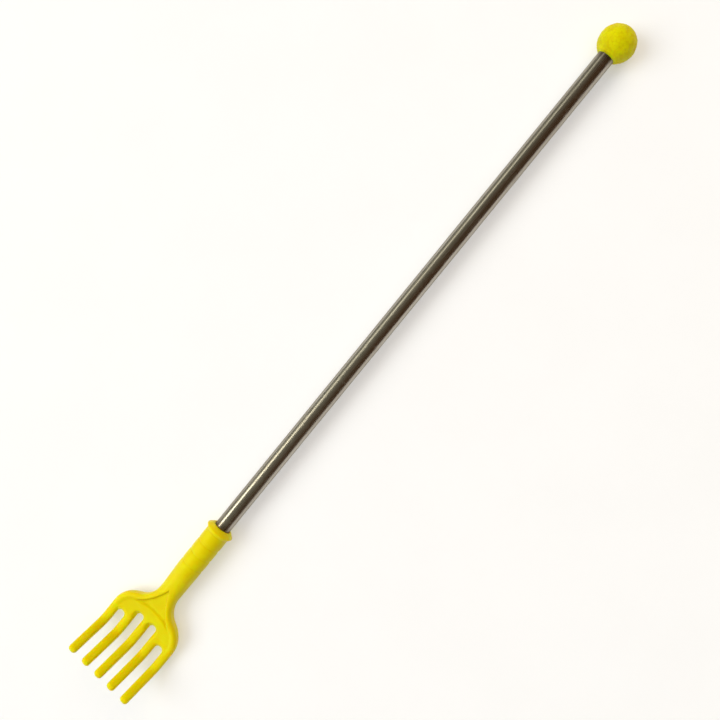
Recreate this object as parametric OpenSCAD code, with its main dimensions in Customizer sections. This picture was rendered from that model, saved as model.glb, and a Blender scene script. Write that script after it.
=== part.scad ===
// Massage back scratcher: a five-fingered plastic hand and a soft ball on a thin steel tube.
// It lies along X with the ball at +X, the curved fingers at -X, and the hollow of the palm facing up.

/* [Handle tube] */
// Outer diameter of the steel tube
tube_d = 10; // [8:0.5:12]
// Wall thickness of the tube
tube_wall = 0.5; // [0.4:0.1:1]
// Length of tube that shows between the collar and the ball
tube_shown_l = 348; // [250:1:450]
// Gap all round between the tube and each socket, filled with adhesive
glue_gap = 0.05; // [0.02:0.01:0.1]

/* [Tube plugs] */
// Length of a plug inside the tube
plug_l = 16; // [8:1:24]
// Thickness of the flange that covers the tube's end
plug_flange_t = 1; // [0.6:0.1:2]
// Gap all round between a plug and the tube's bore
plug_gap = 0.05; // [0.02:0.01:0.1]
// Lead-in chamfer at the inner end of a plug
plug_chamfer = 0.8; // [0.4:0.1:1.5]

/* [Massage ball] */
// Diameter of the ball
ball_d = 21; // [18:0.5:36]
// Depth of the ball's socket, from where the tube enters
ball_socket_l = 13; // [8:0.5:14]

/* [Neck] */
// Diameter of the neck
neck_d = 14.7; // [14.5:0.1:20]
// Diameter of the neck where it runs into the palm
neck_root_d = 14.2; // [13.6:0.1:14.5]
// Length of the neck from the collar's face to where the palm widens
neck_l = 53; // [50:0.5:70]
// Depth of the neck's socket
neck_socket_l = 34; // [20:1:35]
// Lead-in chamfer at the mouth of the neck's socket
mouth_chamfer = 0.4; // [0.2:0.1:0.6]
// Diameter of the collar's sharp rim
collar_d = 17.8; // [17:0.1:24]
// Width of the collar's flat face round the tube
collar_land = 1; // [0.8:0.1:2]
// Distance from the collar's face to its rim
collar_rim_x = 2.6; // [1:0.1:3.6]
// Distance from the collar's face to where its underside meets the neck
collar_l = 4.8; // [4:0.1:8]

/* [Grip rings] */
// Number of shallow ring grooves round the neck
ring_n = 3; // [1:1:3]
// Distance from the collar's face to the first ring
ring_start = 13.6; // [9:0.1:15]
// Distance from ring to ring
ring_pitch = 8; // [4:0.1:9]
// Width of a ring groove
ring_w = 1.2; // [0.6:0.1:2]
// Depth of a ring groove
ring_depth = 0.25; // [0.1:0.05:0.5]

/* [Palm] */
// Radius of the hollow curve from the neck into the palm
flare_r = 15.3; // [8:0.1:20]
// Radius of the palm's round shoulder
shoulder_r = 16; // [12:0.1:18]
// Distance from the collar's face to where the front of the neck starts to slope down
slope_start = 37; // [36:0.5:42]
// Distance from the collar's face to where that slope reaches the fingers' level
slope_end = 80; // [76:0.5:84]

/* [Palm recess] */
// Distance from the collar's face to the recess's point
recess_point = 49; // [47:0.5:54]
// Length of the recess along the middle of the palm
recess_l = 19; // [14:0.5:20]
// Half of the recess's width at its two far corners
recess_half_w = 18; // [12:0.5:18]
// Distance that the far corners lie beyond the middle of the recess's far edge
recess_bow = 6; // [3:0.5:7]
// Radius of each long side of the recess, which bulges inwards
recess_side_r = 46; // [36:1:80]
// Depth of the recess
recess_depth = 2.2; // [1:0.1:3]

/* [Fingers] */
// Width of a finger
finger_w = 5.8; // [4.5:0.1:7]
// Thickness of a finger
finger_t = 5.6; // [4:0.1:6.5]
// Radius of a finger's long edges
finger_edge_r = 1.8; // [0.8:0.1:1.9]
// Gap on each side of the middle finger
inner_gap = 4.8; // [4.2:0.1:7]
// Gap beside each outer finger
outer_gap = 5.4; // [4.2:0.1:7]
// Distance from the ends of the inner gaps to the palm's widest point
inner_gap_reach = 4; // [2:0.5:6]
// Distance from the inner gaps' ends to the outer gaps' ends
gap_stagger = 6.5; // [1:0.5:8]
// Length of the straight part of a finger, from the outer gaps' ends to the bend
straight_l = 8.5; // [6:0.5:16]
// Angle that the fingers bend up by
bend_angle = 43; // [20:1:60]
// Radius of the bend along the middle of a finger
bend_r = 9; // [6:0.5:14]
// Length of a finger beyond its bend
hook_l = 23; // [14:0.5:34]
// Radius of a fingertip's corners
tip_r = 1.9; // [0.8:0.1:1.9]

/* [Hidden] */
$fn = 96;
plastic_yellow = [0.9, 0.82, 0.05];
ball_yellow = [0.84, 0.8, 0.08];
steel = [0.62, 0.6, 0.57];
plug_white = [0.9, 0.9, 0.88];

// Overlap that makes pieces of one moulding join, and cutters pass through their walls
lap = 0.5;
// How much slimmer all round each stretch of a finger is than the one before it
finger_step = 0.05;

// Sizes across the hand
tube_r = tube_d / 2;
neck_r = neck_d / 2;
root_r = neck_root_d / 2;
back_z = -root_r;
finger_z = back_z + finger_t / 2;
front_z = back_z + finger_t;
inner_y = finger_w + inner_gap;
outer_y = inner_y + finger_w + outer_gap;
hand_half_w = outer_y + finger_w / 2;

// Places along the hand, measured from the collar's face towards the fingertips
flare_y = root_r + flare_r;
shoulder_y = hand_half_w - shoulder_r;
widest_x = neck_l + sqrt(pow(flare_r + shoulder_r, 2) - pow(flare_y - shoulder_y, 2));
inner_gap_x = widest_x - inner_gap_reach;
outer_gap_x = inner_gap_x + gap_stagger;
palm_end_x = outer_gap_x + outer_gap / 2;
bend_x = outer_gap_x + straight_l;
tip_corner_z = bend_r + finger_t / 2 - 2 * finger_step - tip_r;
tip_x = bend_x + (hook_l - tip_r) * cos(bend_angle) + tip_corner_z * sin(bend_angle) + tip_r;
slope_angle = atan((neck_r - front_z) / (slope_end - slope_start));

// Places in the whole object, whose middle is over the origin and whose underside is at height 0
ball_r = ball_d / 2;
ball_entry = sqrt(pow(ball_r, 2) - pow(tube_r, 2));
overall_l = tip_x + tube_shown_l + ball_entry + ball_r;
face_x = tip_x - overall_l / 2;
ball_x = overall_l / 2 - ball_r;
ball_floor_x = ball_x - ball_entry + ball_socket_l;
neck_floor_x = face_x - neck_socket_l;
axis_z = ball_r;

// Turns a shape drawn along Z into one along the tube, growing towards the ball
module along_tube(x) {
    translate([x, 0, axis_z])
        rotate([0, 90, 0])
            children();
}

// Sets a shape drawn with X from the collar's face to the fingertips in its place on the object
module on_hand() {
    translate([face_x, 0, axis_z])
        rotate([0, 0, 180])
            children();
}

// A cylinder of the neck's socket, of radius r, from the collar's face to depth l
module socket_core(r, l) {
    translate([-lap, 0, 0])
        rotate([0, 90, 0])
            cylinder(r = r, h = l + lap);
}

// The turned part of the neck with its bevelled collar and ring grooves
module neck_turning() {
    groove_r = (pow(ring_w / 2, 2) + pow(ring_depth, 2)) / (2 * ring_depth);
    rotate([0, 90, 0])
        difference() {
            rotate_extrude()
                polygon([
                    [0, 0],
                    [tube_r + collar_land, 0],
                    [collar_d / 2, collar_rim_x],
                    [neck_r, collar_l],
                    [neck_r, slope_start],
                    [0, slope_start]
                ]);
            for (i = [0 : ring_n - 1])
                rotate_extrude()
                    translate([neck_r - ring_depth + groove_r, ring_start + i * ring_pitch])
                        circle(r = groove_r);
        }
}

// Half of the palm's outline: a hollow curve out of the neck, then the round shoulder
module palm_half_plan() {
    difference() {
        polygon([
            [neck_l, 0],
            [neck_l, flare_y],
            [widest_x, shoulder_y],
            [widest_x, 0]
        ]);
        translate([neck_l, flare_y])
            circle(r = flare_r);
    }
    intersection() {
        translate([widest_x, shoulder_y])
            circle(r = shoulder_r);
        translate([neck_l, 0])
            square([palm_end_x - neck_l, hand_half_w]);
    }
    translate([widest_x, 0])
        square([palm_end_x - widest_x, shoulder_y]);
}

// One gap between two fingers, open towards the fingertips, with a round end
module gap_plan(x, y, w) {
    translate([x + w / 2, y])
        circle(d = w);
    translate([x + w / 2, y - w / 2])
        square([palm_end_x - x, w]);
}

// The palm seen from the front, with the roots of the four gaps
module palm_plan() {
    difference() {
        for (side = [0, 1])
            mirror([0, side])
                palm_half_plan();
        for (side = [-1, 1]) {
            gap_plan(inner_gap_x, side * (finger_w + inner_gap) / 2, inner_gap);
            gap_plan(outer_gap_x, side * (inner_y + (finger_w + outer_gap) / 2), outer_gap);
        }
    }
}

// The recess seen from the front: a triangle with three curved sides and its point at the origin
module recess_plan() {
    corner_x = recess_l + recess_bow;
    side_l = norm([corner_x, recess_half_w]);
    side_off = sqrt(pow(recess_side_r, 2) - pow(side_l / 2, 2));
    far_r = (pow(recess_half_w, 2) + pow(recess_bow, 2)) / (2 * recess_bow);
    difference() {
        polygon([[0, 0], [corner_x, recess_half_w], [corner_x, -recess_half_w]]);
        for (side = [-1, 1])
            translate([
                corner_x / 2 - side_off * recess_half_w / side_l,
                side * (recess_half_w / 2 + side_off * corner_x / side_l)
            ])
                circle(r = recess_side_r);
        translate([recess_l + far_r, 0])
            circle(r = far_r);
    }
}

// Cuts away what lies over the slope that runs down the front of the neck and palm
module slope_cutter() {
    translate([slope_start, 0, neck_r])
        rotate([0, slope_angle, 0])
            translate([-slope_start, -hand_half_w - lap, 0])
                cube([slope_start + palm_end_x, 2 * (hand_half_w + lap), neck_d]);
}

// The solid palm, with the sloping front, the recess and the roots of the gaps.
// A cone takes the palm's corners off where it starts, so that they run out into the round neck.
module palm() {
    difference() {
        union() {
            translate([slope_start, 0, 0])
                rotate([0, 90, 0])
                    cylinder(r1 = neck_r, r2 = root_r, h = neck_l - slope_start);
            translate([neck_l, 0, 0])
                rotate([0, 90, 0])
                    cylinder(r = root_r, h = root_r);
            intersection() {
                translate([0, 0, back_z])
                    linear_extrude(neck_d)
                        palm_plan();
                translate([neck_l, 0, 0])
                    rotate([0, 90, 0])
                        cylinder(r1 = root_r + lap, r2 = root_r + lap + palm_end_x, h = palm_end_x);
            }
        }
        slope_cutter();
        translate([slope_end - lap, -hand_half_w - lap, front_z])
            cube([palm_end_x, 2 * (hand_half_w + lap), neck_d]);
        translate([slope_start, 0, neck_r])
            rotate([0, slope_angle, 0])
                translate([recess_point - slope_start, 0, -recess_depth])
                    linear_extrude(neck_d)
                        recess_plan();
    }
}

// The cross-section of a finger, slimmer all round by a given step
module finger_section(slimmer) {
    w = finger_w - 2 * slimmer;
    t = finger_t - 2 * slimmer;
    square([w - 2 * finger_edge_r, t], center = true);
    square([w, t - 2 * finger_edge_r], center = true);
    for (x = [-1, 1], y = [-1, 1])
        translate([x * (w / 2 - finger_edge_r), y * (t / 2 - finger_edge_r)])
            circle(r = finger_edge_r);
}

// A straight length of finger along X
module finger_bar(l, slimmer) {
    rotate([90, 0, 90])
        linear_extrude(l)
            finger_section(slimmer);
}

// The outline of a fingertip that is w across, with two round corners at its far end
module tip_plan(w) {
    translate([-2 * lap, -w / 2])
        square([hook_l + 2 * lap - tip_r, w]);
    translate([0, tip_r - w / 2])
        square([hook_l, w - 2 * tip_r]);
    for (side = [-1, 1])
        translate([hook_l - tip_r, side * (w / 2 - tip_r)])
            circle(r = tip_r);
}

// The part of a finger beyond its bend, with a rounded tip and its start inside the bend
module finger_hook() {
    intersection() {
        translate([-lap, 0, 0])
            finger_bar(hook_l + lap, 2 * finger_step);
        translate([0, 0, -finger_t])
            linear_extrude(2 * finger_t)
                tip_plan(finger_w - 4 * finger_step);
        translate([0, finger_w, 0])
            rotate([90, 0, 0])
                linear_extrude(2 * finger_w)
                    tip_plan(finger_t - 4 * finger_step);
    }
}

// One whole finger at a distance y across the hand, from its root inside the palm
module finger(root_x, y) {
    overlap_angle = lap / bend_r * 180 / PI;
    translate([root_x, y, finger_z])
        finger_bar(bend_x - root_x, 0);
    translate([bend_x, y, finger_z + bend_r]) {
        rotate([90, 0, 0])
            rotate([0, 0, -90 - overlap_angle])
                rotate_extrude(angle = bend_angle + overlap_angle)
                    translate([bend_r, 0])
                        rotate(90)
                            finger_section(finger_step);
        rotate([0, -bend_angle, 0])
            translate([0, 0, -bend_r])
                finger_hook();
    }
}

// Neck, palm and five fingers, moulded in one piece
module scratcher_hand() {
    color(plastic_yellow)
        on_hand()
            difference() {
                union() {
                    neck_turning();
                    palm();
                    for (y = [-inner_y, 0, inner_y])
                        finger(inner_gap_x - finger_w, y);
                    for (y = [-outer_y, outer_y])
                        finger(outer_gap_x, y);
                }
                socket_core(tube_r + glue_gap, neck_socket_l);
                rotate([0, 90, 0])
                    cylinder(r1 = tube_r + glue_gap + mouth_chamfer, r2 = tube_r + glue_gap, h = mouth_chamfer);
            }
}

// The plain tube, from flange to flange
module handle_tube() {
    start_x = neck_floor_x + plug_flange_t;
    tube_l = ball_floor_x - plug_flange_t - start_x;
    color(steel)
        along_tube(start_x)
            difference() {
                cylinder(r = tube_r, h = tube_l);
                translate([0, 0, -lap])
                    cylinder(r = tube_r - tube_wall, h = tube_l + 2 * lap);
            }
}

// The ball, turned round the tube's line, with a blind socket for the tube
module massage_ball() {
    color(ball_yellow)
        along_tube(ball_x)
            rotate_extrude()
                difference() {
                    circle(r = ball_r);
                    translate([-ball_r, -ball_r])
                        square([ball_r, ball_d]);
                    translate([-lap, -ball_r - lap])
                        square([tube_r + glue_gap + lap, ball_r + lap + ball_floor_x - ball_x]);
                }
}

// A flanged plug, drawn with the flange's outer face at height 0
module tube_plug() {
    plug_r = tube_r - tube_wall - plug_gap;
    rotate_extrude()
        polygon([
            [0, 0],
            [tube_r, 0],
            [tube_r, plug_flange_t],
            [plug_r, plug_flange_t],
            [plug_r, plug_flange_t + plug_l - plug_chamfer],
            [plug_r - plug_chamfer, plug_flange_t + plug_l],
            [0, plug_flange_t + plug_l]
        ]);
}

// The plug in the tube's hand end
module hand_end_plug() {
    color(plug_white)
        along_tube(neck_floor_x)
            tube_plug();
}

// The plug in the tube's ball end
module ball_end_plug() {
    color(plug_white)
        along_tube(ball_floor_x)
            mirror([0, 0, 1])
                tube_plug();
}

scratcher_hand();
handle_tube();
massage_ball();
hand_end_plug();
ball_end_plug();
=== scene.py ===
import math

import bpy
from mathutils import Matrix, Vector


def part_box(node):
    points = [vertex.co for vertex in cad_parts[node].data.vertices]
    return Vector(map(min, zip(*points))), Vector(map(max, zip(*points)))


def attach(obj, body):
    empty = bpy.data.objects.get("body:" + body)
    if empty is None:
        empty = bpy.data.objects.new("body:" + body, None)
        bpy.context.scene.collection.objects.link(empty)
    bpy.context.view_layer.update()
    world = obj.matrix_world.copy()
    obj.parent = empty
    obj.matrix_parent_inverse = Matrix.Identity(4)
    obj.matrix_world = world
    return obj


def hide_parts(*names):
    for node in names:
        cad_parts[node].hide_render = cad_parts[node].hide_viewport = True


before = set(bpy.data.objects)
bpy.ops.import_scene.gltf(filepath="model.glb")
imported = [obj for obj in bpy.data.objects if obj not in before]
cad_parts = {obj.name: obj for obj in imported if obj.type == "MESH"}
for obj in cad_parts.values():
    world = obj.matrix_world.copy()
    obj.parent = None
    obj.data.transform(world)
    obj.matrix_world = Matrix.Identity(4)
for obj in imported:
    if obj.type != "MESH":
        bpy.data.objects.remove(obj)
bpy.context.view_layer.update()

mm = 0.001
tiny = 0.00001                              # metres, for telling points apart
ballLow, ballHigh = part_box("massage_ball")
tubeLow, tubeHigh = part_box("handle_tube")
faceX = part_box("scratcher_hand")[1].x       # the collar's face, where the tube comes out of the neck
axisZ = (tubeLow.z + tubeHigh.z) / 2        # height of the tube's middle line
tubeR = (tubeHigh.z - tubeLow.z) / 2
ballR = (ballHigh.z - ballLow.z) / 2


# small helpers, which take and give metres

def handX(s):
    return faceX - s * mm                   # s counts in mm from the collar's face towards the fingertips


def deselectAll():
    if bpy.context.object and bpy.context.object.mode != "OBJECT":
        bpy.ops.object.mode_set(mode="OBJECT")
    bpy.ops.object.select_all(action="DESELECT")


def makeActive(obj):
    deselectAll()
    obj.select_set(True)
    bpy.context.view_layer.objects.active = obj


def applyPlace(obj):
    makeActive(obj)
    bpy.ops.object.transform_apply(location=True, rotation=True, scale=True)


def clearPick(obj, kind):
    makeActive(obj)
    bpy.ops.object.mode_set(mode="EDIT")
    bpy.ops.mesh.select_mode(type=kind)
    bpy.ops.mesh.select_all(action="DESELECT")
    bpy.ops.object.mode_set(mode="OBJECT")


# each of these selects what passes the test, and stays in edit mode

def pickVerts(obj, test):
    clearPick(obj, "VERT")
    for v in obj.data.vertices:
        v.select = test(v.co)
    bpy.ops.object.mode_set(mode="EDIT")
    bpy.ops.mesh.select_mode(type="VERT")


def pickEdges(obj, test):
    clearPick(obj, "EDGE")
    points = obj.data.vertices
    for e in obj.data.edges:
        e.select = test(points[e.vertices[0]].co, points[e.vertices[1]].co)
    bpy.ops.object.mode_set(mode="EDIT")


def pickFaces(obj, test):
    clearPick(obj, "FACE")
    for f in obj.data.polygons:
        f.select = test(f.center, f.normal)
    bpy.ops.object.mode_set(mode="EDIT")


def applyModifier(obj, kind, **values):
    makeActive(obj)
    mod = obj.modifiers.new(kind.title(), kind)
    for key, value in values.items():
        setattr(mod, key, value)
    bpy.ops.object.modifier_apply(modifier=mod.name)


def fixNormals(obj, mergeDistance=tiny):
    makeActive(obj)
    bpy.ops.object.mode_set(mode="EDIT")
    bpy.ops.mesh.select_all(action="SELECT")
    bpy.ops.mesh.remove_doubles(threshold=mergeDistance)
    bpy.ops.mesh.normals_make_consistent(inside=False)
    bpy.ops.object.mode_set(mode="OBJECT")


def joinAll(objs, name):
    deselectAll()
    for o in objs:
        o.select_set(True)
    bpy.context.view_layer.objects.active = objs[0]
    bpy.ops.object.join()
    bpy.context.object.name = name
    return bpy.context.object


def copyOf(obj, dy):
    makeActive(obj)
    bpy.ops.object.duplicate(linked=False)
    new = bpy.context.object
    new.location.y += dy
    applyPlace(new)
    return new


def cutWith(obj, cutter):
    applyModifier(obj, "BOOLEAN", operation="DIFFERENCE", solver="EXACT", object=cutter)
    makeActive(cutter)
    bpy.ops.object.delete()


def turnedShape(name, stations, segments, closeStart=True, closeEnd=False):
    # a ring drawn at the first station, then extruded from station to station along the tube's line
    deselectAll()
    x0, r0, z0 = stations[0]
    bpy.ops.mesh.primitive_circle_add(vertices=segments, radius=r0, location=(x0, 0, z0),
                                      rotation=(0, math.pi / 2, 0))
    obj = bpy.context.object
    obj.name = name
    applyPlace(obj)
    bpy.ops.object.mode_set(mode="EDIT")
    bpy.ops.mesh.select_all(action="SELECT")
    if closeStart:
        bpy.ops.mesh.edge_face_add()
        bpy.ops.mesh.select_all(action="SELECT")
    bpy.ops.mesh.select_mode(type="EDGE")
    for x1, r1, z1 in stations[1:]:
        bpy.ops.mesh.extrude_edges_move(TRANSFORM_OT_translate={"value": (x1 - x0, 0, z1 - z0)})
        bpy.ops.transform.resize(value=(1, r1 / r0, r1 / r0), center_override=(x1, 0, z1))
        x0, r0, z0 = x1, r1, z1
    if closeEnd:
        bpy.ops.mesh.edge_face_add()
    bpy.ops.object.mode_set(mode="OBJECT")
    return obj


# the hand: neck, palm and fingers
# lengths are in mm, places along it count from the collar's face, and heights from the tube's middle line

hand = {
    # neck and collar
    "segments": 96, "boreR": 5.05, "boreL": 34.0, "mouthChamfer": 0.4, "neckR": 7.35, "rootR": 6.9,
    "collar": [(0.0, 6.0), (0.25, 6.35), (2.2, 8.7), (2.5, 8.88), (2.8, 8.85), (4.5, 7.6), (4.8, 7.42),
               (5.3, 7.35)],
    "ringAt": [13.6, 21.6, 29.6], "ringHalfW": 1.1, "ringDepth": 0.22,
    "crown": 0.12, "crownStart": 5.0, "neckStart": 5.6, "turnStep": 0.3, "joinAt": 32.5,
    # palm
    "palmSegments": 64, "palmStart": 30.5, "palmStep": 1.3, "palmEnd": 86.3,
    "slopeStart": 36.0, "slopeEnd": 80.0, "neckEnd": 53.0,
    "flareR": 15.3, "shoulderR": 16.0, "halfW": 24.7, "backZ": -7.1,
    "rimStart": 50.0, "rimGrow": 12.0, "rimRise": 0.5, "rimFade": 6.0, "rimIntoFinger": 4.0,
    "rimSegments": 32,
    # recess in the palm
    "recessPoint": 49.5, "recessPointHalfW": 0.15, "recessCorner": 75.4, "recessHalfW": 22.0,
    "recessSideR": 45.0, "recessL": 19.0, "recessFarR": 27.0, "farLean": 1.1,
    "recessDepth": 1.3, "recessDraft": 0.87, "recessAbove": 1.5, "recessSteps": 16, "recessSmooth": 9,
    "farSegments": 160,
    # fingers and the gaps between them
    "fingerW": 5.8, "fingerT": 5.6, "fingerEdge": 2.1, "edgeSegments": 5, "roundSteps": 6,
    "fingerRootS": 81.5, "rootBlockL": 2.0, "straightSteps": 4, "bendSteps": 8, "hookSteps": 6,
    "fingerY": [-21.8, -10.6, 0.0, 10.6, 21.8],
    "bendX": 92.14, "bendR": 9.0, "bendAngle": 43.0, "hookL": 23.0, "hookTaper": 0.97, "tipR": 1.9,
    "innerGap": 4.8, "outerGap": 5.4, "innerGapX": 76.6, "outerGapX": 83.4,
    "gapReach": 8.0, "gapRun": 20.0, "gapSegments": 64,
    # moulding into one skin, cut square a little past the neck's end and fitted to its size
    "voxel": 0.36, "smooth": 7, "cutPast": 0.45, "fitL": 2.5, "sharpAngle": 50.0,
}


def turnRingStations(h):
    # out of the bore, over the collar, then along the neck with its grip rings and a slight crown between
    rows = [(h["boreL"], h["boreR"]), (h["mouthChamfer"], h["boreR"])]
    rows += [(0.0, h["boreR"] + h["mouthChamfer"])] + h["collar"]
    s = h["neckStart"]
    marks = [h["crownStart"]] + h["ringAt"]
    while s < h["joinAt"] - tiny / mm:
        r = h["neckR"]
        for a, b in zip(marks, marks[1:]):
            if a < s < b:
                r += h["crown"] * math.sin(math.pi * (s - a) / (b - a))
        for c in h["ringAt"]:
            d = abs(s - c) / h["ringHalfW"]
            if d < 1:
                r -= h["ringDepth"] * (1 - d * d) ** 2
        rows.append((s, r))
        s += h["turnStep"]
    rows.append((h["joinAt"], h["neckR"]))
    return [(handX(a), r * mm, axisZ) for a, r in rows]


def palmSlope(h):
    return (h["neckR"] - h["backZ"] - h["fingerT"]) / (h["slopeEnd"] - h["slopeStart"])


def palmTop(h, s):
    # the neck's top, then a straight slope down to the palm's thin level
    sloping = h["neckR"] - (s - h["slopeStart"]) * palmSlope(h)
    return min(h["neckR"], max(h["backZ"] + h["fingerT"], sloping))


def palmHalfWidth(h, s):
    # straight at the neck, then a hollow flare that turns into the round shoulder
    flareY, shoulderY = h["rootR"] + h["flareR"], h["halfW"] - h["shoulderR"]
    reach = math.sqrt((h["flareR"] + h["shoulderR"]) ** 2 - (flareY - shoulderY) ** 2)
    widest = h["neckEnd"] + reach
    meet = h["neckEnd"] + reach * h["flareR"] / (h["flareR"] + h["shoulderR"])
    if s <= h["neckEnd"]:
        t = max(0.0, (s - h["slopeStart"]) / (h["neckEnd"] - h["slopeStart"]))
        return h["neckR"] + (h["rootR"] - h["neckR"]) * t
    if s < meet:
        return flareY - math.sqrt(h["flareR"] ** 2 - (s - h["neckEnd"]) ** 2)
    if s < widest:
        return shoulderY + math.sqrt(h["shoulderR"] ** 2 - (s - widest) ** 2)
    return h["halfW"]


def palmStations(h):
    # half width, lowest level and section radius, from inside the neck to the finger roots
    rows, s = [], h["palmStart"]
    while s <= h["palmEnd"]:
        t = min(1.0, max(0.0, (s - h["slopeStart"]) / (h["neckEnd"] - h["slopeStart"])))
        low = -h["neckR"] + (h["backZ"] + h["neckR"]) * t
        width = palmHalfWidth(h, s)
        rows.append((s, width, low, min(width, (palmTop(h, s) - low) / 2)))
        s += h["palmStep"]
    return rows


def modelPalm(h):
    rows = palmStations(h)
    rings = [(handX(s), r * mm, axisZ + (low + r) * mm) for s, width, low, r in rows]
    palm = turnedShape("palm", rings, h["palmSegments"], closeEnd=True)
    # each ring's two halves slide apart to the palm's width there
    for s, width, low, r in rows:
        x, apart = handX(s), (width - r) * mm
        for side in (-1, 1):
            if apart > tiny:
                pickVerts(palm, lambda p: abs(p.x - x) < tiny and p.y * side > tiny)
                bpy.ops.transform.translate(value=(0, side * apart, 0))
    bpy.ops.object.mode_set(mode="OBJECT")
    fixNormals(palm)
    return palm


def rimRoll(h, side):
    # a rounded roll along the palm's edge that runs on into the outer finger
    rows, s, end = [], h["rimStart"], h["fingerRootS"] + h["rimIntoFinger"]
    while s <= end:
        grown = min(1, (s - h["rimStart"]) / h["rimGrow"])
        r = (palmTop(h, s) - h["backZ"]) / 2 * (1 - grown) + h["fingerT"] / 2 * grown
        flare = palmHalfWidth(h, s + 0.5) - palmHalfWidth(h, s - 0.5)   # mm out for each mm along
        wide = r * math.hypot(1, flare)
        rise = h["rimRise"] * min(grown, max(0, (end - s) / h["rimFade"]))
        rows.append((s, palmHalfWidth(h, s) - wide, palmTop(h, s) - r + rise, wide, r))
        s += 1.0
    s0, y0, z0, wide0, r0 = rows[0]
    deselectAll()
    bpy.ops.mesh.primitive_circle_add(vertices=h["rimSegments"], radius=r0 * mm,
                                      location=(handX(s0), side * y0 * mm, axisZ + z0 * mm),
                                      rotation=(0, math.pi / 2, 0))
    roll = bpy.context.object
    applyPlace(roll)
    bpy.ops.object.mode_set(mode="EDIT")
    bpy.ops.mesh.select_all(action="SELECT")
    bpy.ops.mesh.edge_face_add()
    bpy.ops.mesh.select_all(action="SELECT")
    bpy.ops.mesh.select_mode(type="EDGE")
    bpy.ops.transform.resize(value=(1, wide0 / r0, 1), center_override=(handX(s0), side * y0 * mm, axisZ))
    for s, y, z, wide, r in rows[1:]:
        step = Vector((s0 - s, side * (y - y0), z - z0)) * mm
        bpy.ops.mesh.extrude_edges_move(TRANSFORM_OT_translate={"value": step})
        bpy.ops.transform.resize(value=(1, wide / wide0, r / r0),
                                 center_override=(handX(s), side * y * mm, axisZ + z * mm))
        s0, y0, z0, wide0, r0 = s, y, z, wide, r
    bpy.ops.mesh.edge_face_add()
    bpy.ops.object.mode_set(mode="OBJECT")
    fixNormals(roll)
    return roll


def recessCutter(h):
    # a wedge that widens from the recess's point, with bowed sides, less a round for its far edge
    dx, dy = h["recessCorner"] - h["recessPoint"], h["recessHalfW"]
    chord = math.hypot(dx, dy)
    off = math.sqrt(h["recessSideR"] ** 2 - (chord / 2) ** 2)
    midS = (h["recessPoint"] + h["recessCorner"]) / 2 - off * dy / chord
    midY = dy / 2 + off * dx / chord
    s0, w0, depth = h["recessPoint"], h["recessPointHalfW"], h["recessDepth"]
    z0 = palmTop(h, s0)
    place = (handX(s0), 0, axisZ + (z0 + (h["recessAbove"] - depth) / 2) * mm)
    deselectAll()
    bpy.ops.mesh.primitive_plane_add(size=1, rotation=(0, math.pi / 2, 0), location=place)
    cutter = bpy.context.object
    cutter.scale = ((h["recessAbove"] + depth) * mm, 2 * w0 * mm, 1)
    applyPlace(cutter)
    pickVerts(cutter, lambda p: p.z < axisZ + z0 * mm)
    bpy.ops.transform.resize(value=(1, h["recessDraft"], 1), center_override=(handX(s0), 0, axisZ))
    bpy.ops.mesh.select_mode(type="FACE")
    bpy.ops.mesh.select_all(action="SELECT")
    for k in range(1, h["recessSteps"] + 1):
        s1 = h["recessPoint"] + dx * k / h["recessSteps"]
        w1 = midY - math.sqrt(h["recessSideR"] ** 2 - (s1 - midS) ** 2)
        step = Vector((s0 - s1, 0, (s0 - s1) * palmSlope(h))) * mm
        bpy.ops.mesh.extrude_region_move(TRANSFORM_OT_translate={"value": step})
        bpy.ops.transform.resize(value=(1, w1 / w0, 1), center_override=(handX(s1), 0, axisZ))
        s0, w0 = s1, w1
    bpy.ops.object.mode_set(mode="OBJECT")
    fixNormals(cutter)
    farS, farR, tall = h["recessPoint"] + h["recessL"], h["recessFarR"], 40.0
    lean = h["farLean"] * tall / 2
    place = (handX(farS + farR), 0, axisZ + palmTop(h, farS) * mm)
    deselectAll()
    bpy.ops.mesh.primitive_cone_add(vertices=h["farSegments"], radius1=(farR + lean) * mm,
                                    radius2=(farR - lean) * mm, depth=tall * mm, location=place)
    cutWith(cutter, bpy.context.object)
    return cutter


def gapCutter(h, s, y, w):
    # a spindle whose ends open out, slid in two along the fingers, so the gap's edges come out round
    low, high, e = h["backZ"], h["backZ"] + h["fingerT"], h["fingerEdge"]
    rows = [(low - h["gapReach"], w / 2 + e), (low, w / 2 + e)]
    for k in range(1, h["roundSteps"] + 1):
        a = k * math.pi / (2 * h["roundSteps"])
        rows.append((low + e * math.sin(a), w / 2 + e * (1 - math.cos(math.pi / 2 - a))))
    rows += [(low + high - z, r) for z, r in reversed(rows)]
    x = handX(s + w / 2)
    deselectAll()
    z0, r0 = rows[0]
    bpy.ops.mesh.primitive_circle_add(vertices=h["gapSegments"], radius=r0 * mm,
                                      location=(x, y * mm, axisZ + z0 * mm))
    cutter = bpy.context.object
    applyPlace(cutter)
    bpy.ops.object.mode_set(mode="EDIT")
    bpy.ops.mesh.select_all(action="SELECT")
    bpy.ops.mesh.edge_face_add()
    bpy.ops.mesh.select_all(action="SELECT")
    bpy.ops.mesh.select_mode(type="EDGE")
    for z1, r1 in rows[1:]:
        bpy.ops.mesh.extrude_edges_move(TRANSFORM_OT_translate={"value": (0, 0, (z1 - z0) * mm)})
        bpy.ops.transform.resize(value=(r1 / r0, r1 / r0, 1), center_override=(x, y * mm, axisZ))
        z0, r0 = z1, r1
    bpy.ops.mesh.edge_face_add()
    bpy.ops.object.mode_set(mode="OBJECT")
    pickVerts(cutter, lambda p: p.x < x - tiny)
    bpy.ops.transform.translate(value=(-h["gapRun"] * mm, 0, 0))
    bpy.ops.object.mode_set(mode="OBJECT")
    fixNormals(cutter)
    return cutter


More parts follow.
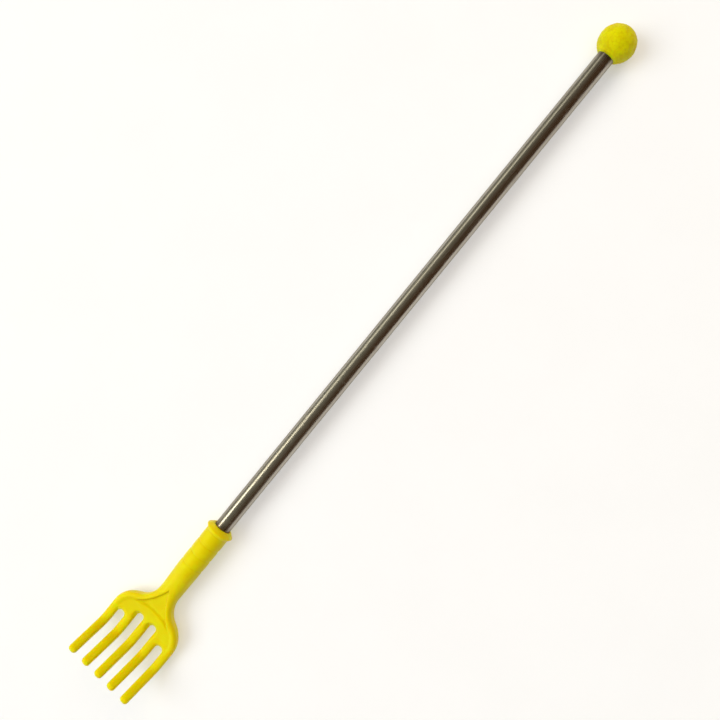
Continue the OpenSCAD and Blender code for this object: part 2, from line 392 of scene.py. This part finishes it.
def modelFinger(h):
    # a rounded bar from the palm, bent up and drawn out to a round tip
    s0, z = h["fingerRootS"], axisZ + (h["backZ"] + h["fingerT"] / 2) * mm
    block = h["rootBlockL"]
    deselectAll()
    bpy.ops.mesh.primitive_cube_add(size=1, location=(handX(s0 + block / 2), 0, z))
    finger = bpy.context.object
    finger.name = "finger"
    finger.scale = (block * mm, h["fingerW"] * mm, h["fingerT"] * mm)
    applyPlace(finger)
    pickEdges(finger, lambda a, b: abs(a.x - b.x) > block / 2 * mm)
    bpy.ops.mesh.bevel(offset=h["fingerEdge"] * mm, segments=h["edgeSegments"], affect="EDGES")
    endX = handX(s0 + block)
    pickFaces(finger, lambda c, n: n.x < -0.99 and abs(c.x - endX) < 10 * tiny)
    straight, steps = h["bendX"] - s0 - block, h["straightSteps"]
    for k in range(steps):
        bpy.ops.mesh.extrude_region_move(TRANSFORM_OT_translate={"value": (-straight / steps * mm, 0, 0)})
    pivot = Vector((handX(h["bendX"]), 0, z + h["bendR"] * mm))
    turn, steps = math.radians(h["bendAngle"]), h["bendSteps"]
    for k in range(steps):
        bpy.ops.mesh.extrude_region_move()
        # with no window this operator turns the other way round
        bpy.ops.transform.rotate(value=-turn / steps, orient_axis="Y", orient_type="GLOBAL",
                                 center_override=pivot)
    along = Vector((-math.cos(turn), 0, math.sin(turn)))
    spot = pivot + Vector((-math.sin(turn), 0, -math.cos(turn))) * h["bendR"] * mm
    length, steps = h["hookL"] - h["tipR"], h["hookSteps"]
    shrink = h["hookTaper"] ** (1 / steps)
    for k in range(steps):
        step = along * length / steps * mm
        spot = spot + step
        bpy.ops.mesh.extrude_region_move(TRANSFORM_OT_translate={"value": step})
        bpy.ops.transform.resize(value=(shrink,) * 3, center_override=spot)
    scale, part = 1.0, math.pi / (2 * h["roundSteps"])
    for k in range(1, h["roundSteps"] + 1):
        a0, a1 = part * (k - 1), part * k
        step = along * (math.sin(a1) - math.sin(a0)) * h["tipR"] * mm
        new = 1 - (1 - math.cos(a1)) * h["tipR"] / (h["fingerT"] / 2)
        spot = spot + step
        bpy.ops.mesh.extrude_region_move(TRANSFORM_OT_translate={"value": step})
        bpy.ops.transform.resize(value=(new / scale,) * 3, center_override=spot)
        scale = new
    bpy.ops.object.mode_set(mode="OBJECT")
    fixNormals(finger)
    return finger


def modelHand(h):
    neck = turnedShape("neck", turnRingStations(h), h["segments"])
    print("neck turned")
    palm = modelPalm(h)
    for side in (-1, 1):
        inner = (h["fingerW"] + h["innerGap"]) / 2
        outer = h["fingerW"] + h["innerGap"] + (h["fingerW"] + h["outerGap"]) / 2
        cutWith(palm, gapCutter(h, h["innerGapX"], side * inner, h["innerGap"]))
        cutWith(palm, gapCutter(h, h["outerGapX"], side * outer, h["outerGap"]))
    print("palm cut", len(palm.data.vertices))
    first = modelFinger(h)
    fingers = [first] + [copyOf(first, y * mm) for y in h["fingerY"] if y]
    body = joinAll([palm, rimRoll(h, -1), rimRoll(h, 1)] + fingers, "handBody")
    applyModifier(body, "REMESH", mode="VOXEL", voxel_size=h["voxel"] * mm)
    applyModifier(body, "SMOOTH", factor=0.5, iterations=h["smooth"])
    print("palm and fingers moulded together", len(body.data.polygons))
    cutWith(body, recessCutter(h))
    applyModifier(body, "REMESH", mode="VOXEL", voxel_size=h["voxel"] * mm)
    applyModifier(body, "SMOOTH", factor=0.5, iterations=h["recessSmooth"])
    print("recess sunk", len(body.data.polygons))
    # the neck is turned, so the moulded part is cut square and bridged to it
    cutX = handX(h["joinAt"] + h["cutPast"])
    makeActive(body)
    bpy.ops.object.mode_set(mode="EDIT")
    bpy.ops.mesh.select_all(action="SELECT")
    bpy.ops.mesh.bisect(plane_co=(cutX, 0, 0), plane_no=(1, 0, 0), clear_outer=True)
    bpy.ops.object.mode_set(mode="OBJECT")
    ring = [math.hypot(v.co.y, v.co.z - axisZ) for v in body.data.vertices if v.co.x > cutX - tiny]
    grow = h["neckR"] * mm / (sum(ring) / len(ring))
    pickVerts(body, lambda p: p.x > cutX - h["fitL"] * mm)
    bpy.ops.transform.resize(value=(1, grow, grow), center_override=(cutX, 0, axisZ))
    bpy.ops.object.mode_set(mode="OBJECT")
    print("ring at the join", len(ring), "grown by", round(grow, 5))
    whole = joinAll([body, neck], "scratcherHand")
    pickVerts(whole, lambda p: cutX - 2 * tiny < p.x < handX(h["joinAt"]) + 2 * tiny)
    bpy.ops.mesh.bridge_edge_loops()
    bpy.ops.object.mode_set(mode="OBJECT")
    fixNormals(whole)
    makeActive(whole)
    bpy.ops.object.shade_smooth_by_angle(angle=math.radians(h["sharpAngle"]))
    return whole


handPiece = modelHand(hand)
handPiece.data.name = "scratcherHand"
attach(handPiece, "root")
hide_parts("scratcher_hand")
print("hand made", len(handPiece.data.polygons), "faces")


# the steel tube, in mm

tube = {"segments": 128, "wall": 0.5, "endRound": 0.08, "sharpAngle": 40.0}


def modelTube(t):
    # once round the wall's section, with its four corners taken off
    inner, e = tubeR - t["wall"] * mm, t["endRound"] * mm
    x0, x1 = tubeLow.x, tubeHigh.x
    rows = [(x0, inner + e), (x0, tubeR - e), (x0 + e, tubeR), (x1 - e, tubeR), (x1, tubeR - e),
            (x1, inner + e), (x1 - e, inner), (x0 + e, inner), (x0, inner + e)]
    stations = [(x, r, axisZ) for x, r in rows]
    piece = turnedShape("steelTube", stations, t["segments"], closeStart=False)
    fixNormals(piece, tiny / 2)
    makeActive(piece)
    bpy.ops.object.shade_smooth_by_angle(angle=math.radians(t["sharpAngle"]))
    return piece


tubePiece = modelTube(tube)
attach(tubePiece, "root")
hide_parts("handle_tube")
print("tube made")


# the massage ball, in mm
# under is how much smaller the first ball is, to leave room for the lumps, and swell widens it across

ball = {
    "detail": 5, "under": 0.1, "swell": 1.035,
    "boreR": 5.05, "boreSegments": 96, "socketL": 13.0,
    "lipR": 6.0, "lipThick": 0.75, "lipIn": 0.35, "lipSegments": 96, "lipRoundSegments": 24,
    "voxel": 0.3, "smooth": 6, "sharpAngle": 60.0,
    "lump": 0.4, "lumpSize": 3.5, "pebble": 0.3, "pebbleSize": 1.1,
}


def modelBall(b):
    centre = Vector((ballHigh.x - ballR, 0, axisZ))
    deselectAll()
    bpy.ops.mesh.primitive_ico_sphere_add(subdivisions=b["detail"], radius=ballR - b["under"] * mm,
                                          location=centre)
    piece = bpy.context.object
    piece.scale = (b["swell"], b["swell"], 1)
    applyPlace(piece)
    # a low lip where the soft plastic closes round the tube
    lipX = centre.x - math.sqrt(ballR ** 2 - (b["lipR"] * mm) ** 2) + b["lipIn"] * mm
    deselectAll()
    bpy.ops.mesh.primitive_torus_add(major_radius=b["lipR"] * mm, minor_radius=b["lipThick"] * mm,
                                     major_segments=b["lipSegments"], minor_segments=b["lipRoundSegments"],
                                     location=(lipX, 0, axisZ), rotation=(0, math.pi / 2, 0))
    lip = bpy.context.object
    applyPlace(lip)
    piece = joinAll([piece, lip], "massageBall")
    applyModifier(piece, "REMESH", mode="VOXEL", voxel_size=b["voxel"] * mm)
    applyModifier(piece, "SMOOTH", factor=0.5, iterations=b["smooth"])
    for name, kind, size, strength in (("ballLumps", "CLOUDS", b["lumpSize"], b["lump"]),
                                       ("ballPebbles", "VORONOI", b["pebbleSize"], b["pebble"])):
        texture = bpy.data.textures.new(name, kind)
        texture.noise_scale = size * mm
        applyModifier(piece, "DISPLACE", texture=texture, texture_coords="LOCAL", strength=strength * mm,
                      mid_level=0.5, direction="NORMAL")
    applyModifier(piece, "TRIANGULATE")       # flat faces only, so the bore's rim is cut clean
    socketEnd, drill = centre.x - math.sqrt(ballR ** 2 - tubeR ** 2) + b["socketL"] * mm, 40 * mm
    deselectAll()
    bpy.ops.mesh.primitive_cylinder_add(vertices=b["boreSegments"], radius=b["boreR"] * mm, depth=drill,
                                        location=(socketEnd - drill / 2, 0, axisZ),
                                        rotation=(0, math.pi / 2, 0))
    applyPlace(bpy.context.object)
    cutWith(piece, bpy.context.object)
    makeActive(piece)
    bpy.ops.object.shade_smooth_by_angle(angle=math.radians(b["sharpAngle"]))
    return piece


ballPiece = modelBall(ball)
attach(ballPiece, "root")
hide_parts("massage_ball")
print("ball made")


# materials

def addNode(tree, kind, inputs=None, **settings):
    node = tree.nodes.new("ShaderNode" + kind)
    for key, value in settings.items():
        setattr(node, key, value)
    for key, value in (inputs or {}).items():
        if isinstance(value, bpy.types.NodeSocket):
            tree.links.new(value, node.inputs[key])
        else:
            node.inputs[key].default_value = value
    return node


def calc(tree, operation, a, b):
    return addNode(tree, "Math", {0: a, 1: b}, operation=operation).outputs[0]


def blendColor(tree, factor, low, high):
    mixed = addNode(tree, "Mix", {"Factor": factor, "A": low, "B": high}, data_type="RGBA")
    return mixed.outputs["Result"]


def newGroup(name, inputs, output):
    tree = bpy.data.node_groups.new(name, "ShaderNodeTree")
    for label, kind, value in inputs:
        socket = tree.interface.new_socket(name=label, in_out="INPUT", socket_type="NodeSocket" + kind)
        if kind != "Vector":
            socket.default_value = value
    tree.interface.new_socket(name=output[0], in_out="OUTPUT", socket_type="NodeSocket" + output[1])
    return tree, tree.nodes.new("NodeGroupInput").outputs, tree.nodes.new("NodeGroupOutput").inputs


def useGroup(tree, name, **inputs):
    node = tree.nodes.new("ShaderNodeGroup")
    node.node_tree = bpy.data.node_groups[name]
    for key, value in inputs.items():
        if isinstance(value, bpy.types.NodeSocket):
            tree.links.new(value, node.inputs[key])
        else:
            node.inputs[key].default_value = value
    return node.outputs[0]


def buildGroups():
    # slow patches between two tints, as pigment and handling leave them
    tree, given, out = newGroup("mottle", [("Vector", "Vector", None), ("Tint", "Color", (1, 1, 1, 1)),
                                           ("Shift", "Color", (1, 1, 1, 1)), ("Scale", "Float", 50.0),
                                           ("Contrast", "Float", 1.0)], ("Color", "Color"))
    cloud = addNode(tree, "TexNoise", {"Vector": given["Vector"], "Scale": given["Scale"], "Detail": 5.0,
                                       "Roughness": 0.6})
    level = addNode(tree, "MapRange", {"Value": cloud.outputs["Fac"], "From Min": 0.36, "From Max": 0.66,
                                       "To Max": given["Contrast"]}, interpolation_type="SMOOTHSTEP")
    mixed = blendColor(tree, level.outputs["Result"], given["Tint"], given["Shift"])
    tree.links.new(mixed, out["Color"])

    # fine even grain for roughness and bump
    tree, given, out = newGroup("grain", [("Vector", "Vector", None), ("Scale", "Float", 800.0)],
                                ("Height", "Float"))
    fine = addNode(tree, "TexNoise", {"Vector": given["Vector"], "Scale": given["Scale"], "Detail": 3.0,
                                      "Roughness": 0.65})
    tree.links.new(fine.outputs["Fac"], out["Height"])

    # thin short scuffs that gather in patches
    tree, given, out = newGroup("scuffs", [("Vector", "Vector", None), ("Scale", "Float", 120.0),
                                           ("Amount", "Float", 1.0)], ("Mask", "Float"))
    lines = None
    for turn, stretch in ((0.5, (0.16, 1.0, 0.6)), (-0.9, (1.0, 0.14, 0.6))):
        laid = addNode(tree, "Mapping", {"Vector": given["Vector"], "Rotation": (0.3, 0.2, turn),
                                         "Scale": stretch})
        hair = addNode(tree, "TexNoise", {"Vector": laid.outputs["Vector"], "Scale": given["Scale"],
                                          "Detail": 2.0, "Distortion": 0.3})
        sharp = addNode(tree, "MapRange", {"Value": hair.outputs["Fac"], "From Min": 0.64,
                                           "From Max": 0.69})
        if lines is None:
            lines = sharp.outputs["Result"]
        else:
            lines = calc(tree, "MAXIMUM", lines, sharp.outputs["Result"])
    patch = addNode(tree, "TexNoise", {"Vector": given["Vector"], "Scale": 45.0, "Detail": 2.0})
    patchy = addNode(tree, "MapRange", {"Value": patch.outputs["Fac"], "From Min": 0.42, "From Max": 0.6,
                                        "To Max": given["Amount"]})
    tree.links.new(calc(tree, "MULTIPLY", lines, patchy.outputs["Result"]), out["Mask"])

    # ridges where Full is above Start, hollows where it is below
    tree, given, out = newGroup("ridgeMask", [("Vector", "Vector", None), ("Start", "Float", 0.51),
                                              ("Full", "Float", 0.56), ("Amount", "Float", 1.0)],
                                ("Mask", "Float"))
    shape = addNode(tree, "NewGeometry")
    ridge = addNode(tree, "MapRange", {"Value": shape.outputs["Pointiness"], "From Min": given["Start"],
                                       "From Max": given["Full"], "To Max": given["Amount"]})
    broken = addNode(tree, "TexNoise", {"Vector": given["Vector"], "Scale": 260.0, "Detail": 4.0})
    breaks = addNode(tree, "MapRange", {"Value": broken.outputs["Fac"], "From Min": 0.35,
                                        "From Max": 0.62})
    tree.links.new(calc(tree, "MULTIPLY", ridge.outputs["Result"], breaks.outputs["Result"]), out["Mask"])

    # long fine lines along x, as drawing and polishing leave them
    tree, given, out = newGroup("drawnLines", [("Vector", "Vector", None), ("Along", "Float", 5.0),
                                               ("Across", "Float", 900.0)], ("Value", "Float"))
    pull = addNode(tree, "CombineXYZ", {"X": given["Along"], "Y": given["Across"], "Z": given["Across"]})
    drawn = addNode(tree, "VectorMath", {0: given["Vector"], 1: pull.outputs["Vector"]},
                    operation="MULTIPLY")
    streak = addNode(tree, "TexNoise", {"Vector": drawn.outputs["Vector"], "Scale": 1.0, "Detail": 4.0,
                                        "Roughness": 0.7})
    tree.links.new(streak.outputs["Fac"], out["Value"])


def newMaterial(name, sheen):
    # sheen holds the finish's fixed values, set straight on the shader
    mat = bpy.data.materials.new(name)
    mat.use_nodes = True
    tree = mat.node_tree
    shader = tree.nodes["Principled BSDF"]
    for key, value in sheen.items():
        shader.inputs[key].default_value = value
    return mat, tree, shader, addNode(tree, "TexCoord").outputs["Object"]


def ramp(tree, value, a, b, low, high):
    return addNode(tree, "MapRange", {"Value": value, "From Min": a, "From Max": b, "To Min": low,
                                      "To Max": high}, interpolation_type="SMOOTHSTEP").outputs["Result"]


def bumpInto(tree, shader, height, strength, distance):
    bump = addNode(tree, "Bump", {"Height": height, "Strength": strength, "Distance": distance})
    tree.links.new(bump.outputs["Normal"], shader.inputs["Normal"])


def mottled(tree, place, tint, deep, scale, contrast):
    return useGroup(tree, "mottle", Vector=place, Tint=tint, Shift=deep, Scale=scale, Contrast=contrast)


def grain(tree, place, scale):
    return useGroup(tree, "grain", Vector=place, Scale=scale)


def scuffs(tree, place, scale, amount):
    return useGroup(tree, "scuffs", Vector=place, Scale=scale, Amount=amount)


def ridges(tree, place, start, full, amount):
    return useGroup(tree, "ridgeMask", Vector=place, Start=start, Full=full, Amount=amount)


# in the finishes below, mottle is scale and contrast, scuffs is scale and amount, bump is strength and
# distance, ridges and the painted-shade hollows are start, full and amount, and scales are in cells per
# metre
grainSpan = (0.35, 0.65)                    # where most of a grain's values lie

handFinish = {
    "tint": (0.765, 0.69, 0.002, 1), "deep": (0.73, 0.605, 0.001, 1), "mottle": (55.0, 0.8),
    # painted shade: a deeper orange colour and the mask that lays it into the hollows
    "hollow": (0.66, 0.43, 0.001, 1), "hollows": (0.5, 0.468, 0.9),
    "scuffed": (0.84, 0.77, 0.08, 1), "scuffs": (520.0, 0.35), "ridges": (0.52, 0.6, 0.2),
    "wornTint": 0.4, "wornRough": 0.18,
    "rough": (0.4, 0.5), "grainScale": 1100.0, "waveScale": 140.0,
    "grainDepth": 0.05, "waveDepth": 0.5, "seamDepth": 0.15, "scuffDepth": 0.25, "bump": (0.16, 0.0002),
    "seamZ": -4.3, "seamWidth": 0.16,       # mm
    "sheen": {"Subsurface Weight": 0.75, "Subsurface Radius": (1.0, 0.3, 0.04), "Subsurface Scale": 0.0025,
              "Specular Tint": (1, 0.9, 0.2, 1), "Specular IOR Level": 0.35},
}


def handPlastic(f):
    mat, tree, shader, place = newMaterial("handPlastic", f["sheen"])
    color = mottled(tree, place, f["tint"], f["deep"], *f["mottle"])
    marks = scuffs(tree, place, *f["scuffs"])
    worn = calc(tree, "MAXIMUM", marks, ridges(tree, place, *f["ridges"]))
    # painted shade: the hollows of the moulding, such as the recess's walls, the finger gaps and the
    # neck's rings, are coloured deeper orange
    color = blendColor(tree, ridges(tree, place, *f["hollows"]), color, f["hollow"])
    color = blendColor(tree, calc(tree, "MULTIPLY", worn, f["wornTint"]), color, f["scuffed"])
    tree.links.new(color, shader.inputs["Base Color"])
    skin = grain(tree, place, f["grainScale"])
    wave = grain(tree, place, f["waveScale"])
    rough = calc(tree, "ADD", ramp(tree, skin, *grainSpan, *f["rough"]),
                 calc(tree, "MULTIPLY", worn, f["wornRough"]))
    tree.links.new(rough, shader.inputs["Roughness"])
    # the two halves of the mould meet in a thin raised seam
    height = addNode(tree, "SeparateXYZ", {"Vector": place}).outputs["Z"]
    apart = calc(tree, "ABSOLUTE", calc(tree, "SUBTRACT", height, axisZ + f["seamZ"] * mm), 0.0)
    seam = ramp(tree, apart, 0.0, f["seamWidth"] * mm, 1.0, 0.0)
    relief = calc(tree, "ADD", calc(tree, "MULTIPLY", skin, f["grainDepth"]),
                  calc(tree, "MULTIPLY", wave, f["waveDepth"]))
    relief = calc(tree, "ADD", relief, calc(tree, "MULTIPLY", seam, f["seamDepth"]))
    relief = calc(tree, "SUBTRACT", relief, calc(tree, "MULTIPLY", marks, f["scuffDepth"]))
    bumpInto(tree, shader, relief, *f["bump"])
    return mat


ballFinish = {
    "tint": (0.69, 0.65, 0.001, 1), "deep": (0.61, 0.52, 0.001, 1), "mottle": (210.0, 0.8),
    # painted shade: the gaps between the pebbles are coloured darker orange
    "hollow": (0.52, 0.38, 0.001, 1), "cells": 620.0, "cellEdge": (0.45, 0.85), "cellShade": 0.32,
    "scuffed": (0.80, 0.76, 0.05, 1), "ridges": (0.52, 0.6, 0.4), "wornTint": 0.5,
    "rough": (0.5, 0.68), "grainScale": 1500.0,
    "grainDepth": 0.35, "cellDepth": 1.2, "bump": (0.7, 0.00025),
    "sheen": {"Subsurface Weight": 0.5, "Subsurface Radius": (1.0, 0.3, 0.04), "Subsurface Scale": 0.002,
              "Specular Tint": (1, 0.9, 0.2, 1), "Specular IOR Level": 0.3},
}


def ballPlastic(f):
    mat, tree, shader, place = newMaterial("ballPlastic", f["sheen"])
    color = mottled(tree, place, f["tint"], f["deep"], *f["mottle"])
    cells = addNode(tree, "TexVoronoi", {"Vector": place, "Scale": f["cells"], "Randomness": 0.9})
    # painted shade: the cells' edges, where the pebbles dip, take the darker colour; the same mask sinks
    # them in the bump
    edge = ramp(tree, cells.outputs["Distance"], *f["cellEdge"], 0.0, f["cellShade"])
    rubbed = ridges(tree, place, *f["ridges"])
    color = blendColor(tree, edge, color, f["hollow"])
    color = blendColor(tree, calc(tree, "MULTIPLY", rubbed, f["wornTint"]), color, f["scuffed"])
    tree.links.new(color, shader.inputs["Base Color"])
    skin = grain(tree, place, f["grainScale"])
    tree.links.new(ramp(tree, skin, *grainSpan, *f["rough"]), shader.inputs["Roughness"])
    relief = calc(tree, "SUBTRACT", calc(tree, "MULTIPLY", skin, f["grainDepth"]),
                  calc(tree, "MULTIPLY", edge, f["cellDepth"]))
    bumpInto(tree, shader, relief, *f["bump"])
    return mat


tubeFinish = {
    "bright": (0.50, 0.475, 0.42, 1), "dull": (0.40, 0.365, 0.31, 1), "mottle": (70.0, 0.5),
    "fineLines": (9.0, 1300.0), "broadLines": (3.0, 260.0), "fineShare": 0.6, "broadShare": 0.4,
    "streakSpan": (0.38, 0.62), "scuffs": (300.0, 0.8), "scuffRough": 0.15,
    "stain": (0.16, 0.11, 0.06, 1), "stainAmount": 0.6, "stainReach": 5.0,
    "ballEntry": 1.88,                      # ball radii from the ball's far end to where the tube goes in
    "rough": (0.2, 0.34), "smudgeScale": 60.0, "smudgeSpan": (0.5, 0.7), "smudgeRough": 0.08,
    "bump": (0.12, 0.00005),
    "sheen": {"Metallic": 1.0, "Specular Tint": (0.5, 0.48, 0.43, 1)},
}


def drawnLines(tree, place, along, across):
    return useGroup(tree, "drawnLines", Vector=place, Along=along, Across=across)


def tubeSteel(f):
    mat, tree, shader, place = newMaterial("tubeSteel", f["sheen"])
    lines = drawnLines(tree, place, *f["fineLines"])
    broad = drawnLines(tree, place, *f["broadLines"])
    streaks = calc(tree, "ADD", calc(tree, "MULTIPLY", lines, f["fineShare"]),
                   calc(tree, "MULTIPLY", broad, f["broadShare"]))
    marks = scuffs(tree, place, *f["scuffs"])
    color = blendColor(tree, ramp(tree, streaks, *f["streakSpan"], 0.0, 1.0), f["bright"], f["dull"])
    color = mottled(tree, place, color, f["dull"], *f["mottle"])
    # the steel is dull where the collar and the ball close round it
    x = addNode(tree, "SeparateXYZ", {"Vector": place}).outputs["X"]
    entryX = ballHigh.x - ballR * f["ballEntry"]
    out = calc(tree, "ABSOLUTE", calc(tree, "SUBTRACT", x, (faceX + entryX) / 2), 0.0)
    half = (entryX - faceX) / 2
    stain = ramp(tree, out, half - f["stainReach"] * mm, half, 0.0, f["stainAmount"])
    tree.links.new(blendColor(tree, stain, color, f["stain"]), shader.inputs["Base Color"])
    rough = calc(tree, "ADD", ramp(tree, streaks, *f["streakSpan"], *f["rough"]),
                 calc(tree, "MULTIPLY", marks, f["scuffRough"]))
    smudge = ramp(tree, grain(tree, place, f["smudgeScale"]), *f["smudgeSpan"], 0.0, f["smudgeRough"])
    tree.links.new(calc(tree, "ADD", rough, smudge), shader.inputs["Roughness"])
    bumpInto(tree, shader, calc(tree, "SUBTRACT", lines, marks), *f["bump"])
    return mat


plugFinish = {
    "tint": (0.82, 0.81, 0.76, 1), "deep": (0.72, 0.69, 0.60, 1), "mottle": (150.0, 0.7),
    "scuffed": (0.55, 0.53, 0.48, 1), "scuffs": (380.0, 0.7), "ridges": (0.52, 0.6, 0.6), "wornTint": 0.4,
    "rough": (0.45, 0.6), "grainScale": 1200.0, "grainDepth": 0.3, "turnedScale": 300.0,
    "bump": (0.3, 0.00008),
    "sheen": {"Subsurface Weight": 0.2, "Subsurface Radius": (1.0, 0.9, 0.7), "Subsurface Scale": 0.002},
}


def plugPlastic(f):
    mat, tree, shader, place = newMaterial("plugPlastic", f["sheen"])
    marks = scuffs(tree, place, *f["scuffs"])
    color = mottled(tree, place, f["tint"], f["deep"], *f["mottle"])
    worn = calc(tree, "MAXIMUM", marks, ridges(tree, place, *f["ridges"]))
    color = blendColor(tree, calc(tree, "MULTIPLY", worn, f["wornTint"]), color, f["scuffed"])
    tree.links.new(color, shader.inputs["Base Color"])
    skin = grain(tree, place, f["grainScale"])
    tree.links.new(ramp(tree, skin, *grainSpan, *f["rough"]), shader.inputs["Roughness"])
    rings = addNode(tree, "TexWave", {"Vector": place, "Scale": f["turnedScale"], "Distortion": 0.4},
                    bands_direction="X")
    relief = calc(tree, "ADD", calc(tree, "MULTIPLY", skin, f["grainDepth"]), rings.outputs["Fac"])
    bumpInto(tree, shader, relief, *f["bump"])
    return mat


floorFinish = {
    "tint": (0.62, 0.62, 0.625, 1), "deep": (0.605, 0.603, 0.605, 1), "mottle": (14.0, 0.6),
    "grainScale": 700.0, "bump": (0.1, 0.0001),
    "sheen": {"Emission Color": (1, 1, 1, 1), "Emission Strength": 0.335, "Roughness": 0.85},
}


def paleFloor(f):
    mat, tree, shader, place = newMaterial("paleFloor", f["sheen"])
    color = mottled(tree, place, f["tint"], f["deep"], *f["mottle"])
    tree.links.new(color, shader.inputs["Base Color"])
    bumpInto(tree, shader, grain(tree, place, f["grainScale"]), *f["bump"])
    return mat


def setMaterial(obj, mat):
    obj.data.materials.clear()
    obj.data.materials.append(mat)


buildGroups()
setMaterial(handPiece, handPlastic(handFinish))
setMaterial(tubePiece, tubeSteel(tubeFinish))
setMaterial(ballPiece, ballPlastic(ballFinish))
plugWhite = plugPlastic(plugFinish)
for name in ("hand_end_plug", "ball_end_plug"):
    setMaterial(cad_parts[name], plugWhite)
print("materials set")


# floor, light and camera

# metres, watts and degrees
studio = {
    "floorSize": 10.0,
    # soft lights that gloss doesn't see
    "keyDirection": (-0.42, 0.50, 0.76), "keyDistance": 5.0, "keySize": 3.6,
    "keyPower": 185.0, "keyColor": (0.93, 1.0, 1.06),
    "topDirection": (0.15, -0.15, 1.0), "topDistance": 4.0, "topSize": 4.0,
    "topPower": 62.0, "topColor": (1, 0.99, 0.98),
    "fillDirection": (0.80, 0.20, 0.56), "fillDistance": 5.0, "fillSize": 3.6,
    "fillPower": 92.0, "fillColor": (1, 0.74, 0.4),
    # long cards that only gloss sees
    "cardDirection": (-0.20, 0.66, 0.71), "cardLength": 4.4, "cardPower": 14.0,
    "nearDirection": (-0.60, 0.54, 0.58), "nearLength": 2.4, "nearPower": 27.0,
    "cardDistance": 3.0, "cardWidth": 0.9, "cardColor": (1.0, 0.97, 0.80),
    # the room's glow, which turns from brown to grey-green, and the plain backdrop
    "rightGlow": (0.086, 0.044, 0.02, 1), "leftGlow": (0.26, 0.26, 0.21, 1),
    "glowDirection": (-0.63, 0.75, 0.19), "glowSpan": (-0.6, 0.9), "backdrop": (0.93, 0.93, 0.93, 1),
    # camera
    "cameraPlace": (0.05092, -0.08200, 0.48134), "cameraTurn": (1.9537, 11.1279, -50.1289),
    "lens": 41.237,
}


def softLight(name, direction, distance, size, power, color, wide=None):
    toLight = Vector(direction).normalized()
    deselectAll()
    bpy.ops.object.light_add(type="AREA", location=toLight * distance)
    lamp = bpy.context.object
    lamp.name = name
    lamp.rotation_euler = toLight.to_track_quat("Z", "Y").to_euler()
    lamp.data.shape = "SQUARE"
    lamp.data.size = size
    if wide:
        lamp.data.shape = "RECTANGLE"
        lamp.data.size_y = wide
    lamp.data.energy = power
    lamp.data.color = color
    return lamp


deselectAll()
bpy.ops.mesh.primitive_plane_add(size=studio["floorSize"], location=(0, 0, 0))
floor = bpy.context.object
floor.name = "floor"
setMaterial(floor, paleFloor(floorFinish))

for name in ("key", "top", "fill"):
    lamp = softLight(name + "Light", studio[name + "Direction"], studio[name + "Distance"],
                     studio[name + "Size"], studio[name + "Power"], studio[name + "Color"])
    lamp.visible_glossy = False
# each card is laid along the tube
for name in ("card", "near"):
    card = softLight(name + "Gloss", studio[name + "Direction"], studio["cardDistance"],
                     studio[name + "Length"], studio[name + "Power"], studio["cardColor"],
                     studio["cardWidth"])
    card.visible_diffuse = False
    toCard = Vector(studio[name + "Direction"]).normalized()
    along = (Vector((1, 0, 0)) - toCard * toCard.x).normalized()
    card.rotation_euler = Matrix((along, toCard.cross(along), toCard)).transposed().to_euler()

world = bpy.data.worlds.new("studio")
bpy.context.scene.world = world
world.use_nodes = True
air = world.node_tree
lit = air.nodes["Background"]
where = addNode(air, "TexCoord")
side = addNode(air, "VectorMath", {0: where.outputs["Generated"], 1: studio["glowDirection"]},
               operation="DOT_PRODUCT")
fade = ramp(air, side.outputs["Value"], *studio["glowSpan"], 0.0, 1.0)
air.links.new(blendColor(air, fade, studio["rightGlow"], studio["leftGlow"]), lit.inputs["Color"])
seen = addNode(air, "Background", {"Color": studio["backdrop"]})
path = addNode(air, "LightPath")
mix = addNode(air, "MixShader", {"Fac": path.outputs["Is Camera Ray"], 1: lit.outputs[0],
                                 2: seen.outputs[0]})
air.links.new(mix.outputs[0], air.nodes["World Output"].inputs["Surface"])

bpy.ops.object.camera_add(location=studio["cameraPlace"],
                          rotation=[math.radians(a) for a in studio["cameraTurn"]])
camera = bpy.context.object
camera.data.sensor_width = 36
camera.data.lens = studio["lens"]
camera.data.clip_start = 0.01
bpy.context.scene.camera = camera
bpy.context.scene.view_settings.view_transform = "Standard"
bpy.context.view_layer.update()
print("studio set")
